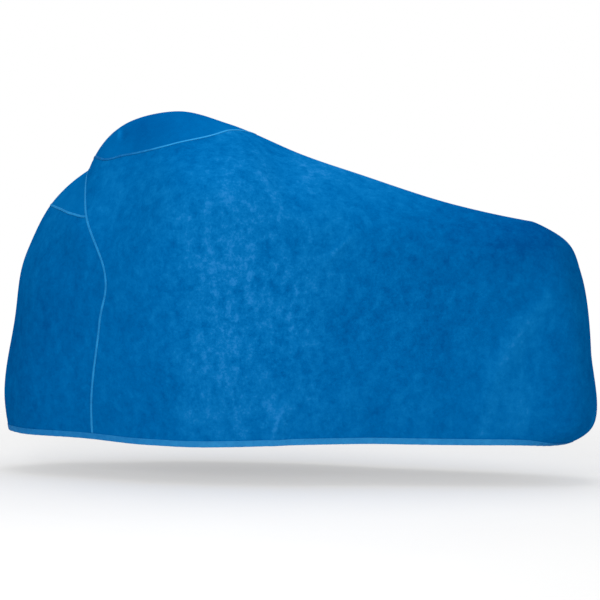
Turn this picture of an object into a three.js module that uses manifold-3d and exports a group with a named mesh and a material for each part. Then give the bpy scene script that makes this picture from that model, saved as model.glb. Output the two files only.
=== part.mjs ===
// Motorcycle cover: a stretch cloth shell drawn as it hangs when worn, open below
// Millimetres, +Z up, +X from the front to the tail, the left side on -Y
import * as THREE from "three";
import Module from "manifold-3d";

const wasm = await Module();
wasm.setup();

// Cloth, tapes and binding
const CLOTH_THICK = 2;
const SEAM_GAP = 0.4;
const TAPE_WIDE = 10;
const TAPE_THICK = 1.2;
const TAPE_LIFT = 0.35;
const BIND_TALL = 22;
const BIND_WALL = 1.2;
const BIND_CLEAR = 0.35;

// Where the origin stands above the ground: the inner side of the crown at its highest
const ORIGIN = new THREE.Vector3(-500, 0, 1427);

// Left half of the shell, a row per rib from the front centre line round to the tail centre line
// Each level gives x, distance out from the middle and height above the ground
const LEVEL = [0, 0.09, 0.36, 0.66, 0.85, 1];
const RIBS = [
  { rib: "front centre", hem: [-1189, 0, 160], skirt: [-1205, 0, 270], waist: [-1160, 0, 600],
    shoulder: [-1104, 0, 882], edge: [-990, 0, 1085], top: [-845, 0, 1204] },
  { rib: "nose quarter", hem: [-1105, 140, 160], skirt: [-1118, 148, 270], waist: [-1075, 165, 600],
    shoulder: [-1015, 155, 870], edge: [-930, 100, 1070], top: [-845, 0, 1204] },
  { rib: "front seam", hem: [-767, 270, 158], skirt: [-766, 292, 270], waist: [-718, 345, 600],
    shoulder: [-694, 358, 820], edge: [-796, 250, 1035], top: [-845, 0, 1204] },
  { rib: "crown front", hem: [-560, 335, 149], skirt: [-555, 352, 270], waist: [-545, 395, 590],
    shoulder: [-550, 410, 930], edge: [-655, 190, 1235], top: [-711, 0, 1375] },
  { rib: "dome", hem: [-370, 360, 146], skirt: [-375, 378, 270], waist: [-385, 425, 590],
    shoulder: [-400, 446, 1075], edge: [-445, 235, 1300], top: [-500, 0, 1429] },
  { rib: "crown back", hem: [-185, 358, 150], skirt: [-190, 376, 272], waist: [-200, 418, 590],
    shoulder: [-225, 452, 1110], edge: [-235, 235, 1275], top: [-286, 0, 1379] },
  { rib: "ridge high", hem: [55, 335, 160], skirt: [50, 350, 275], waist: [40, 385, 570],
    shoulder: [30, 385, 1035], edge: [15, 190, 1190], top: [8, 0, 1257] },
  { rib: "ridge middle", hem: [270, 290, 163], skirt: [265, 305, 275], waist: [260, 322, 545],
    shoulder: [250, 317, 980], edge: [240, 160, 1124], top: [235, 0, 1180] },
  { rib: "ridge low", hem: [615, 235, 160], skirt: [615, 246, 275], waist: [615, 256, 525],
    shoulder: [610, 236, 905], edge: [610, 110, 1027], top: [607, 0, 1062] },
  { rib: "rear", hem: [868, 186, 158], skirt: [882, 204, 240], waist: [884, 212, 510],
    shoulder: [884, 188, 868], edge: [896, 86, 974], top: [905, 0, 998] },
  { rib: "tail quarter", hem: [995, 105, 149], skirt: [1067, 134, 198], waist: [1086, 140, 505],
    shoulder: [1046, 124, 806], edge: [989, 64, 943], top: [905, 0, 998] },
  { rib: "tail centre", hem: [1047, 0, 147], skirt: [1127, 0, 194], waist: [1132, 0, 505],
    shoulder: [1092, 0, 800], edge: [1032, 0, 926], top: [905, 0, 998] },
];
const FRONT_SEAM_RIB = 2;
const REAR_RIB = 9;
const LAST_RIB = RIBS.length - 1;

// Points past the top that the last two ribs run towards, in place of their mirror image
const BEYOND = { 10: [825, -62, 1002], 11: [790, 0, 1026] };

// Above this level the ribs that end in one point stand apart from the next ones, below it all run smoothly
const CREASE_FROM = 0.7;

// Crown seam, a row per point: rib number and level
const CROWN_SEAM = [
  { rib: 2.16, level: 1 },
  { rib: 2.5, level: 0.919 },
  { rib: 3, level: 0.865 },
  { rib: 3.65, level: 0.842 },
  { rib: 4.2, level: 0.854 },
  { rib: 4.85, level: 0.912 },
  { rib: 5.36, level: 1 },
];

// Nose seam: how far below the notch it meets the front seam, in levels, how much it rises on its way
// there from the middle, between which shares of the way round, and how late
const NOSE_SIDE = 0.166;
const NOSE_RISE = 0.026;
const NOSE_RISE_FROM = 0.5;
const NOSE_RISE_TO = 1.04;
const NOSE_RISE_POWER = 1.55;

// Folds seen from the side: x and height of start, middle and end, breadth, and depth inward
const FOLDS = [
  { side: -1, from: [-150, 1315], via: [0, 1175], to: [78, 1000], wide: 45, deep: 10 },
  { side: -1, from: [160, 848], via: [205, 898], to: [254, 948], wide: 26, deep: -5 },
  { side: -1, from: [990, 745], via: [790, 530], to: [715, 215], wide: 50, deep: -10 },
  { side: -1, from: [-36, 150], via: [-22, 235], to: [2, 305], wide: 32, deep: -9 },
  { side: -1, from: [-702, 1358], via: [-695, 1335], to: [-688, 1312], wide: 22, deep: 5 },
  { side: -1, from: [-480, 150], via: [-490, 260], to: [-480, 400], wide: 60, deep: 7 },
  { side: -1, from: [330, 160], via: [340, 260], to: [345, 380], wide: 70, deep: 6 },
  { side: 1, from: [-180, 1315], via: [-40, 1180], to: [50, 985], wide: 52, deep: 11 },
  { side: 1, from: [965, 715], via: [770, 505], to: [660, 205], wide: 54, deep: -9 },
  { side: 1, from: [60, 780], via: [140, 850], to: [215, 900], wide: 30, deep: -6 },
  { side: 1, from: [-300, 150], via: [-280, 230], to: [-240, 330], wide: 40, deep: 8 },
  { side: 1, from: [430, 160], via: [420, 260], to: [400, 390], wide: 70, deep: 7 },
];
const FOLD_STEPS = 14;
const FOLD_FADES_AT = 70;
const FOLD_START = 0.12;

// Grid: columns of the side panels up to each rib number, and rows up the cloth
// Rows above the nose seam are given as shares of the way from there to the notch
const CROWN_FRONT = CROWN_SEAM[0].rib;
const CROWN_BACK = CROWN_SEAM[CROWN_SEAM.length - 1].rib;
const SIDE_COLUMNS = [
  { to: CROWN_FRONT - 0.05, steps: 1 },
  { to: CROWN_FRONT, steps: 1 },
  { to: 3, steps: 3 },
  { to: 4, steps: 4 },
  { to: 5, steps: 4 },
  { to: CROWN_BACK, steps: 2 },
  { to: CROWN_BACK + 0.04, steps: 1 },
  { to: 6, steps: 5 },
  { to: 7, steps: 5 },
  { to: 8, steps: 6 },
  { to: 9, steps: 4 },
  { to: 10, steps: 5 },
  { to: LAST_RIB, steps: 4 },
];
const LOWER_ROWS = [0, 0.07, 0.15, 0.23, 0.31, 0.39, 0.46, 0.53, 0.59, 0.65, 0.71, 0.77];
const NOSE_SHARES = [0, 0.07, 0.17, 0.29, 0.42, 0.56, 0.7, 0.84, 0.95, 1];
const NOSE_DEPTH_ROWS = 4;
const CROWN_HALF_ROWS = 4;

// Levels from the nose seam to the row below it, and of a small step above the hem
const BESIDE_NOSE = 0.006;
const HEM_STEP = 0.01;

// Small steps for slopes, the least distance between two places, and the limit for sharp corners
const STEP = 1e-4;
const ACROSS_STEP = 20 * STEP;
const BELOW_TOP = 40 * STEP;
const SAME_PLACE = 1e-3;
const SHARPEST_CORNER = 0.3;
const vec = (triple) => new THREE.Vector3(triple[0], -triple[1], triple[2]);
const mirrored = (p) => new THREE.Vector3(p.x, -p.y, p.z);
const mix = (a, b, f) => a + (b - a) * f;

// Ribs as points, and how far apart they stand round the waist
const ribs = RIBS.map((r) => [r.hem, r.skirt, r.waist, r.shoulder, r.edge, r.top].map(vec));
const ribAt = [0];
for (let i = 1; i <= LAST_RIB; i += 1) ribAt.push(ribAt[i - 1] + ribs[i][2].distanceTo(ribs[i - 1][2]));

// Slope of a smooth curve at a point between two neighbours
function slopeBetween(before, at, after, gapBefore, gapAfter) {
  const first = at.clone().sub(before).multiplyScalar(gapAfter / gapBefore);
  const second = after.clone().sub(at).multiplyScalar(gapBefore / gapAfter);
  return first.add(second).divideScalar(gapBefore + gapAfter);
}

// Slope of a smooth curve at its first point, from the next two
function slopeAtEnd(at, next, afterNext, gap, nextGap) {
  const near = next.clone().sub(at).divideScalar(gap);
  const far = afterNext.clone().sub(next).divideScalar(nextGap);
  return near.clone().addScaledVector(near.clone().sub(far), gap / (gap + nextGap));
}

// Point at fraction f of the cubic from a to b with the given slopes
function cubic(a, b, slopeA, slopeB, gap, f) {
  const f2 = f * f;
  const f3 = f2 * f;
  return new THREE.Vector3()
    .addScaledVector(a, 2 * f3 - 3 * f2 + 1)
    .addScaledVector(b, 3 * f2 - 2 * f3)
    .addScaledVector(slopeA, gap * (f3 - 2 * f2 + f))
    .addScaledVector(slopeB, gap * (f3 - f2));
}

// Slopes of each rib at its levels: the ribs of the front stop at the notch, the others go over the top
const ribSlopes = ribs.map((p, i) => {
  const last = p.length - 1;
  const gap = (k) => LEVEL[k + 1] - LEVEL[k];
  return p.map((at, k) => {
    if (k === 0) return slopeAtEnd(at, p[1], p[2], gap(0), gap(1));
    if (k < last) return slopeBetween(p[k - 1], at, p[k + 1], gap(k - 1), gap(k));
    const stop = slopeAtEnd(at, p[last - 1], p[last - 2], gap(last - 1), gap(last - 2)).negate();
    if (i < FRONT_SEAM_RIB) return stop;
    const over = BEYOND[i] ? vec(BEYOND[i]) : mirrored(p[last - 1]);
    return slopeBetween(p[last - 1], at, over, gap(last - 1), gap(last - 1));
  });
});

// Point of one rib at a level; ribs past either centre line are the mirror image of the left ones
function ribPoint(i, level) {
  if (i < 0) return mirrored(ribPoint(-i, level));
  if (i > LAST_RIB) return mirrored(ribPoint(2 * LAST_RIB - i, level));
  let k = 0;
  while (k < LEVEL.length - 2 && level > LEVEL[k + 1]) k += 1;
  const gap = LEVEL[k + 1] - LEVEL[k];
  const f = (level - LEVEL[k]) / gap;
  return cubic(ribs[i][k], ribs[i][k + 1], ribSlopes[i][k], ribSlopes[i][k + 1], gap, f);
}

// Distance round the waist to a rib, also past the centre lines
function placeOf(i) {
  if (i < 0) return -ribAt[-i];
  if (i > LAST_RIB) return 2 * ribAt[LAST_RIB] - ribAt[2 * LAST_RIB - i];
  return ribAt[i];
}

// Slope across the ribs at rib i, seen from the interval that starts at rib i or ends there
function slopeAcross(i, level, starts) {
  const at = ribPoint(i, level);
  const gapBefore = placeOf(i) - placeOf(i - 1);
  const gapAfter = placeOf(i + 1) - placeOf(i);
  const smooth = slopeBetween(ribPoint(i - 1, level), at, ribPoint(i + 1, level), gapBefore, gapAfter);
  if (i !== FRONT_SEAM_RIB && i !== REAR_RIB) return smooth;
  const way = starts ? 1 : -1;
  const gap = starts ? gapAfter : gapBefore;
  const nextGap = Math.abs(placeOf(i + 2 * way) - placeOf(i + way));
  const apart = slopeAtEnd(at, ribPoint(i + way, level), ribPoint(i + 2 * way, level), gap, nextGap);
  return smooth.lerp(apart.multiplyScalar(way), THREE.MathUtils.smoothstep(level, CREASE_FROM, 1));
}

// Point of the smooth left side at a rib number and a level
function leftPoint(rib, level) {
  const i = Math.min(Math.floor(rib), LAST_RIB - 1);
  const gap = placeOf(i + 1) - placeOf(i);
  const a = ribPoint(i, level);
  const b = ribPoint(i + 1, level);
  return cubic(a, b, slopeAcross(i, level, true), slopeAcross(i + 1, level, false), gap, rib - i);
}

// Point past the limits of the left side, so that slopes can be taken at its borders
function smoothPoint(rib, level) {
  if (rib < 0) return mirrored(smoothPoint(-rib, level));
  if (rib > LAST_RIB) return mirrored(smoothPoint(2 * LAST_RIB - rib, level));
  return leftPoint(rib, Math.max(level, 0));
}

// Direction out of the cloth at a point, from small steps across and up it
function outward(point, rib, level) {
  const up = Math.min(level, 1 - 2 * STEP);
  const acrossLevel = Math.min(level, 1 - BELOW_TOP);
  const across = point(rib + ACROSS_STEP, acrossLevel).sub(point(rib - ACROSS_STEP, acrossLevel));
  const rise = point(rib, up + STEP).sub(point(rib, Math.max(up - STEP, 0)));
  const out = across.cross(rise).normalize();
  const onMiddle = (level === 1 && rib >= FRONT_SEAM_RIB) || rib === 0 || rib === LAST_RIB;
  if (onMiddle) out.setY(0).normalize();
  return out;
}

// How far each side's folds push the cloth in or out at a place seen from the side
const foldPaths = FOLDS.map((fold) => {
  const ends = [fold.from, fold.via, fold.to].map((p) => new THREE.Vector2(p[0], p[1]));
  return { ...fold, path: new THREE.QuadraticBezierCurve(...ends).getPoints(FOLD_STEPS) };
});
function foldPush(side, p) {
  const place = new THREE.Vector2(p.x, p.z);
  let push = 0;
  for (const fold of foldPaths) {
    if (fold.side !== side) continue;
    let nearest = Infinity;
    let along = 0;
    for (let k = 0; k < FOLD_STEPS; k += 1) {
      const leg = fold.path[k + 1].clone().sub(fold.path[k]);
      const f = THREE.MathUtils.clamp(place.clone().sub(fold.path[k]).dot(leg) / leg.lengthSq(), 0, 1);
      const away = place.distanceTo(fold.path[k].clone().addScaledVector(leg, f));
      if (away < nearest) along = (k + f) / FOLD_STEPS;
      nearest = Math.min(nearest, away);
    }
    const strength = Math.sin(Math.PI * mix(FOLD_START, 1 - FOLD_START, along));
    push -= fold.deep * strength * Math.exp(-((nearest / fold.wide) ** 2));
  }
  return push * THREE.MathUtils.smoothstep(Math.abs(p.y), 0, FOLD_FADES_AT);
}

// Point of the folded cloth, and with it the direction out; rib numbers under 0 are on the right
function foldedLeft(side) {
  return (rib, level) => {
    const flip = rib < 0 || rib > LAST_RIB;
    const p = smoothPoint(rib, level);
    const inner = rib < 0 ? -rib : flip ? 2 * LAST_RIB - rib : rib;
    const out = outward(smoothPoint, inner, level);
    if (flip) out.setY(-out.y);
    return p.addScaledVector(out, foldPush(flip ? -side : side, p));
  };
}
const folded = { "-1": foldedLeft(-1), 1: foldedLeft(1) };
function cloth(side, rib, level) {
  const p = folded[side](rib, level);
  const out = outward(folded[side], rib, level);
  return side < 0 ? { p, out } : { p: mirrored(p), out: mirrored(out) };
}
const clothRound = (rib, level) => cloth(rib < 0 ? 1 : -1, Math.abs(rib), level);

// Point of a seam moved sideways in the cloth, to where the tape on it ends
function beside(seam, k, away) {
  const at = seam[k];
  const before = seam[Math.max(k - 1, 0)];
  const after = seam[Math.min(k + 1, seam.length - 1)];
  const legs = [at.p.clone().sub(before.p), after.p.clone().sub(at.p)].filter((leg) => leg.lengthSq() > 0);
  const sides = legs.map((leg) => at.out.clone().cross(leg).normalize());
  const way = sides.length === 1 ? sides[0] : sides[0].clone().add(sides[1]);
  if (sides.length === 2) way.divideScalar(1 + sides[0].dot(sides[1]));
  return { p: at.p.clone().addScaledVector(way, away), out: at.out };
}

// Closed mesh from points and triangles
function solid(points, triangles) {
  const geometry = new THREE.BufferGeometry();
  const numbers = points.flatMap((p) => [p.x, p.y, p.z]);
  geometry.setAttribute("position", new THREE.Float32BufferAttribute(numbers, 3));
  geometry.setIndex(triangles.flat());
  return geometry;
}

// Panel from a grid of places, each row running with its outside to the left of rising rows
function panel(grid) {
  const places = [];
  const index = grid.map((row) => row.map((place) => {
    const same = places.findIndex((other) => other.p.distanceTo(place.p) < SAME_PLACE);
    if (same >= 0) return same;
    places.push(place);
    return places.length - 1;
  }));
  const faces = [];
  const add = (a, b, c) => a !== b && b !== c && a !== c && faces.push([a, b, c]);
  for (let j = 0; j + 1 < grid.length; j += 1) {
    for (let i = 0; i + 1 < grid[j].length; i += 1) {
      const [a, b, c, d] = [index[j][i], index[j][i + 1], index[j + 1][i + 1], index[j + 1][i]];
      add(a, b, c);
      add(a, c, d);
    }
  }
  const follows = new Map();
  const edges = new Set(faces.flatMap(([a, b, c]) => [`${a},${b}`, `${b},${c}`, `${c},${a}`]));
  for (const edge of edges) {
    const [a, b] = edge.split(",").map(Number);
    if (!edges.has(`${b},${a}`)) follows.set(a, b);
  }
  const comesBefore = new Map([...follows].map(([a, b]) => [b, a]));
  const outer = places.map((place, at) => {
    if (!follows.has(at)) return place.p.clone();
    const before = place.p.clone().sub(places[comesBefore.get(at)].p);
    const after = places[follows.get(at)].p.clone().sub(place.p);
    const ways = [before, after].map((leg) => place.out.clone().cross(leg).normalize());
    const inset = SEAM_GAP / 2 / Math.max(1 + ways[0].dot(ways[1]), SHARPEST_CORNER);
    return place.p.clone().addScaledVector(ways[0].add(ways[1]), inset);
  });
  const inner = outer.map((p, at) => p.clone().addScaledVector(places[at].out, -CLOTH_THICK));
  const count = outer.length;
  const rim = [...follows].flatMap(([a, b]) => [[b, a, a + count], [b, a + count, b + count]]);
  const inside = faces.map(([a, b, c]) => [a + count, c + count, b + count]);
  return solid([...outer, ...inner], [...faces, ...inside, ...rim]);
}

// Bar with the same cross-section at each station, closed in a ring or capped at both ends
// Each four-sided face is split along the diagonal that lies further in, clear of the cloth beside it
function bar(sections, ring) {
  const corners = sections[0].length;
  const points = sections.flat();
  const triangles = [];
  const last = ring ? sections.length : sections.length - 1;
  for (let k = 0; k < last; k += 1) {
    const next = (k + 1) % sections.length;
    for (let c = 0; c < corners; c += 1) {
      const e = (c + 1) % corners;
      const face = [k * corners + c, next * corners + c, next * corners + e, k * corners + e];
      const [p, q, r, t] = face.map((at) => points[at]);
      const out = r.clone().sub(p).cross(t.clone().sub(q));
      const inFirst = q.clone().add(t).sub(p).sub(r).dot(out) > 0;
      const [f, g, h, i] = inFirst ? face : [...face.slice(1), face[0]];
      triangles.push([f, g, h], [f, h, i]);
    }
  }
  const end = (sections.length - 1) * corners;
  for (let c = 0; !ring && c + 2 < corners; c += 1) {
    triangles.push([corners - 1, c, c + 1], [end + corners - 1, end + c + 1, end + c]);
  }
  return solid(points, triangles);
}

// Tape section across a seam at one station
function tapeSection(seam, k, half = TAPE_WIDE / 2, low = TAPE_LIFT, high = TAPE_LIFT + TAPE_THICK) {
  const corner = (away, lift) => beside(seam, k, away).p.addScaledVector(seam[k].out, lift);
  return [
    corner(-half, low), corner(-half, high), corner(0, high),
    corner(half, high), corner(half, low), corner(0, low),
  ];
}

// Levels of the rows up the front seam, shared by every panel that meets it
const noseLevel = 1 - NOSE_SIDE;
const noseRow = LOWER_ROWS.length + 1;
const upperRows = NOSE_SHARES.map((share) => mix(noseLevel, 1, share));
const rowLevels = [...LOWER_ROWS, noseLevel - BESIDE_NOSE, ...upperRows];
const topRow = rowLevels.length - 1;

// Level where the binding ends on a rib
function bindingLevel(side, rib) {
  const low = cloth(side, rib, 0).p;
  return (BIND_TALL * HEM_STEP) / cloth(side, rib, HEM_STEP).p.distanceTo(low);
}

// Rib numbers of the columns of the side panels
const sideColumns = [FRONT_SEAM_RIB];
for (const part of SIDE_COLUMNS) {
  const from = sideColumns[sideColumns.length - 1];
  for (let k = 1; k <= part.steps; k += 1) sideColumns.push(mix(from, part.to, k / part.steps));
}

// Level at which a side panel ends: the middle, or the crown seam
const crownKnots = CROWN_SEAM.map((row) => new THREE.Vector3(row.rib, row.level, 0));
const crownGap = (n) => crownKnots[n + 1].x - crownKnots[n].x;
const crownSlopes = crownKnots.map((at, n) => {
  const last = crownKnots.length - 1;
  if (n === 0) return slopeAtEnd(at, crownKnots[1], crownKnots[2], crownGap(0), crownGap(1));
  if (n < last) return slopeBetween(crownKnots[n - 1], at, crownKnots[n + 1], crownGap(n - 1), crownGap(n));
  const back = slopeAtEnd(at, crownKnots[n - 1], crownKnots[n - 2], crownGap(n - 1), crownGap(n - 2));
  return back.negate();
});
function crownLevel(rib) {
  if (rib <= CROWN_FRONT || rib >= CROWN_BACK) return 1;
  let k = 0;
  while (rib > crownKnots[k + 1].x) k += 1;
  const f = (rib - crownKnots[k].x) / crownGap(k);
  return cubic(crownKnots[k], crownKnots[k + 1], crownSlopes[k], crownSlopes[k + 1], crownGap(k), f).y;
}

// Front seam up one side, with the place where the binding ends
function frontSeam(side) {
  const levels = [0, bindingLevel(side, FRONT_SEAM_RIB), ...rowLevels.slice(1)];
  return levels.map((level) => cloth(side, FRONT_SEAM_RIB, level));
}
const leftSeam = frontSeam(-1);
const rightSeam = frontSeam(1);

// Crown seam as a ring: from the front point along the left to the back point and back along the right
const crownColumns = sideColumns.filter((rib) => rib >= CROWN_FRONT && rib <= CROWN_BACK);
const crownEnd = crownColumns.length - 1;
const crownSeam = (side) => crownColumns.map((rib) => cloth(side, rib, crownLevel(rib)));
const crownRing = [...crownSeam(-1), ...crownSeam(1).reverse().slice(1, -1)];
const crownWrapped = [crownRing[crownRing.length - 1], ...crownRing, crownRing[0]];
const ringIndex = (side, k) => (side < 0 || k === 0 ? k : 2 * crownEnd - k);
const besideCrown = (side, k, away) => beside(crownWrapped, ringIndex(side, k) + 1, away);

// Place between two others that lies nearest to a third
function between(from, to, near) {
  const leg = to.p.clone().sub(from.p);
  const f = near.p.clone().sub(from.p).dot(leg) / leg.lengthSq();
  return { p: from.p.clone().addScaledVector(leg, f), out: near.out };
}

// Side panel, with a column where the front tape ends and a row where the crown tape ends
function sideGrid(side, seam) {
  const first = sideColumns.indexOf(CROWN_FRONT);
  const below = (k) => besideCrown(side, k, -TAPE_WIDE / 2);
  const rows = rowLevels.map((level) => sideColumns.map((rib) => cloth(side, rib, level * crownLevel(rib))));
  const line = rows[topRow - 1];
  for (let k = 1; k < crownEnd; k += 1) line[first + k] = below(k);
  line[first] = between(below(0), below(1), crownRing[0]);
  line[first + crownEnd] = between(below(crownEnd), below(crownEnd - 1), crownRing[crownEnd]);
  for (const row of [line, rows[topRow]]) {
    row[first - 1] = below(0);
    row[first + crownEnd + 1] = below(crownEnd);
  }
  rows.splice(1, 0, sideColumns.map((rib) => cloth(side, rib, bindingLevel(side, rib))));
  rows.forEach((row, j) => row.splice(1, 0, beside(seam, j, (side * TAPE_WIDE) / 2)));
  return side < 0 ? rows : rows.map((row) => row.reverse());
}

// Nose columns, a row each from the right leg round to the left: where they start on the nose seam and
// end on the front seam, as steps sideways and down from the notch, counted in levels
const QUARTER = Math.PI / 2;
const rightShares = NOSE_SHARES.map((share) => share - 1);
const leftShares = NOSE_SHARES.map((share) => 1 - share).reverse();
const noseColumns = [...rightShares, ...leftShares.slice(1)];
function noseRise(column) {
  const past = (Math.abs(column) - NOSE_RISE_FROM) / (NOSE_RISE_TO - NOSE_RISE_FROM);
  return NOSE_RISE * Math.sin(Math.PI * Math.max(past, 0) ** NOSE_RISE_POWER);
}
function noseStep(column, share) {
  const turn = column * QUARTER;
  const reach = NOSE_SIDE + noseRise(1) - noseRise(column);
  const sideways = mix(column * NOSE_SIDE, reach * Math.sin(turn), share);
  const down = mix(0, reach * Math.cos(turn), share);
  const rib = (FRONT_SEAM_RIB * Math.atan2(sideways, down)) / QUARTER;
  return { rib, level: 1 - Math.hypot(sideways, down) };
}
function noseCloth(column, share) {
  const { rib, level } = noseStep(column, share);
  return clothRound(rib, level);
}
const noseSeam = noseColumns.map((column) => noseCloth(column, 1));
const overNotch = [...rightSeam.slice(noseRow + 1), ...leftSeam.slice(noseRow + 1).reverse().slice(1)];

// Place in a pointed corner of the nose where the tapes on its two seams end
function noseTip(k, next) {
  const legs = [noseSeam[next], overNotch[next]].map((place) => place.p.clone().sub(noseSeam[k].p));
  const along = TAPE_WIDE / 2 / Math.tan(legs[0].angleTo(legs[1]) / 2) / legs[0].length();
  const [from, to] = [k, next].map((at) => beside(noseSeam, at, TAPE_WIDE / 2));
  return { p: from.p.lerp(to.p, along), out: from.out.clone().lerp(to.out, along).normalize() };
}

// Nose panel, between the two seams, coming to a point on either side
function noseGrid() {
  const rows = [noseSeam, noseSeam.map((place, k) => beside(noseSeam, k, TAPE_WIDE / 2))];
  for (let j = 1; j < NOSE_DEPTH_ROWS; j += 1) {
    rows.push(noseColumns.map((column) => noseCloth(column, 1 - j / NOSE_DEPTH_ROWS)));
  }
  rows.push(overNotch.map((place, k) => beside(overNotch, k, -TAPE_WIDE / 2)), overNotch);
  const last = noseColumns.length - 1;
  const tips = { 0: noseTip(0, 1), [last]: noseTip(last, last - 1) };
  for (const row of rows.slice(1, -1)) {
    for (const k of [0, last]) row[k] = tips[k];
  }
  rows[rows.length - 1] = overNotch.map((place, k) => (k === 0 || k === last ? noseSeam[k] : place));
  return rows;
}

// Front panel, between the legs of the front seam and below the nose seam
function frontGrid() {
  const columns = noseColumns.map((column) => noseStep(column, 1));
  const last = columns.length - 1;
  const rows = rowLevels.slice(0, noseRow + 1).map((level, j) => columns.map(({ rib, level: full }, k) => {
    if (j === noseRow - 1 && k > 0 && k < last) return beside(noseSeam, k, -TAPE_WIDE / 2);
    return clothRound(rib, (full * level) / noseLevel);
  }));
  rows.splice(1, 0, columns.map(({ rib }) => clothRound(rib, bindingLevel(rib < 0 ? 1 : -1, Math.abs(rib)))));
  const along = (from, to) => {
    const f = TAPE_WIDE / 2 / from.p.distanceTo(to.p);
    return { p: from.p.clone().lerp(to.p, f), out: from.out.clone().lerp(to.out, f).normalize() };
  };
  return rows.map((row, j) => {
    const top = j === rows.length - 1;
    const right = top ? along(row[0], row[1]) : beside(rightSeam, j, -TAPE_WIDE / 2);
    const left = top ? along(row[last], row[last - 1]) : beside(leftSeam, j, TAPE_WIDE / 2);
    return [row[0], right, ...row.slice(1, last), left, row[last]];
  });
}

// Crown panel, from the left part of its seam over the middle to the right part
function crownGrid() {
  const half = (side) => {
    const rows = [crownSeam(side), crownColumns.map((rib, k) => besideCrown(side, k, TAPE_WIDE / 2))];
    for (let j = 1; j < CROWN_HALF_ROWS; j += 1) {
      rows.push(crownColumns.map((rib) => cloth(side, rib, mix(crownLevel(rib), 1, j / CROWN_HALF_ROWS))));
    }
    return rows;
  };
  const rows = [...half(-1), crownColumns.map((rib) => cloth(-1, rib, 1)), ...half(1).reverse()];
  for (const row of rows.slice(1, -1)) {
    for (const k of [0, crownEnd]) row[k] = besideCrown(-1, k, TAPE_WIDE / 2);
  }
  return rows;
}

// Tape along an open row of places
const tape = (seam, ...sizes) => bar(seam.map((place, k) => tapeSection(seam, k, ...sizes)), false);

// Front tape: up the right leg, over the notch and down the left leg, from just above the binding
function legAboveBinding(seam) {
  const [low, next] = [seam[1], seam[2]];
  const f = BIND_CLEAR / low.p.distanceTo(next.p);
  return [{ p: low.p.clone().lerp(next.p, f), out: low.out }, ...seam.slice(2)];
}
const frontTapeSeam = [...legAboveBinding(rightSeam), ...legAboveBinding(leftSeam).reverse().slice(1)];

// Nose tape, trimmed clear of the front tape at both ends
function manifold(geometry) {
  const vertProperties = new Float32Array(geometry.attributes.position.array);
  const triVerts = new Uint32Array(geometry.index.array);
  return new wasm.Manifold(new wasm.Mesh({ numProp: 3, vertProperties, triVerts }));
}
function noseTape() {
  const trim = tape(frontTapeSeam, TAPE_WIDE / 2 + TAPE_LIFT, -TAPE_THICK, 3 * TAPE_THICK);
  const mesh = manifold(tape(noseSeam)).subtract(manifold(trim)).getMesh();
  const geometry = new THREE.BufferGeometry();
  geometry.setAttribute("position", new THREE.BufferAttribute(mesh.vertProperties, 3));
  geometry.setIndex(new THREE.BufferAttribute(mesh.triVerts, 1));
  return geometry;
}

// Crown tape, a closed ring with mitred points at the front and the back
const crownTape = () => bar(crownRing.map((place, k) => tapeSection(crownWrapped, k + 1)), true);

const leftGrid = sideGrid(-1, leftSeam);
const rightGrid = sideGrid(1, rightSeam);
const front = frontGrid();

// Binding, folded over the lower edge of the front and both sides all the way round
function hemBinding() {
  const hem = [...front[0], ...leftGrid[0].slice(1), ...rightGrid[0].slice(1, -1)];
  const line = [...front[1], ...leftGrid[1].slice(1), ...rightGrid[1].slice(1, -1)];
  const low = (SEAM_GAP / 2 - BIND_CLEAR) / BIND_TALL;
  const under = low - BIND_WALL / BIND_TALL;
  const inner = -CLOTH_THICK - BIND_CLEAR;
  const profile = [
    { out: BIND_CLEAR + BIND_WALL, up: 1 },
    { out: BIND_CLEAR, up: 1 },
    { out: BIND_CLEAR, up: low },
    { out: inner, up: low },
    { out: inner, up: 1 },
    { out: inner - BIND_WALL, up: 1 },
    { out: inner - BIND_WALL, up: under },
    { out: BIND_CLEAR + BIND_WALL, up: under },
  ];
  const sections = hem.map((place, k) => profile.map((row) => {
    const out = place.out.clone().lerp(line[k].out, row.up);
    return place.p.clone().lerp(line[k].p, row.up).addScaledVector(out, row.out);
  }));
  return bar(sections, true);
}

// Pieces with the colours of the cloth and of the lighter trim
const CLOTH_BLUE = 0x0667aa;
const CROWN_BLUE = 0x065f9e;
const TRIM_BLUE = 0x2f86c8;
const ROUGH = 0.9;
const cover = new THREE.Group();
cover.name = "motorcycle_cover";
function add(name, geometry, color) {
  const material = new THREE.MeshStandardMaterial({ color, roughness: ROUGH, metalness: 0 });
  const mesh = new THREE.Mesh(geometry, material);
  mesh.name = name;
  geometry.translate(-ORIGIN.x, -ORIGIN.y, -ORIGIN.z);
  cover.add(mesh);
}
add("crown_panel", panel(crownGrid()), CROWN_BLUE);
add("nose_panel", panel(noseGrid()), CROWN_BLUE);
add("front_panel", panel(front), CLOTH_BLUE);
add("side_panel_left", panel(leftGrid), CLOTH_BLUE);
add("side_panel_right", panel(rightGrid), CLOTH_BLUE);
add("front_seam_tape", tape(frontTapeSeam), TRIM_BLUE);
add("nose_seam_tape", noseTape(), TRIM_BLUE);
add("crown_seam_tape", crownTape(), TRIM_BLUE);
add("hem_binding", hemBinding(), TRIM_BLUE);

export default cover;
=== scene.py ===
import math
import bmesh
import bpy
import numpy as np
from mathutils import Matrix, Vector, noise


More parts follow.
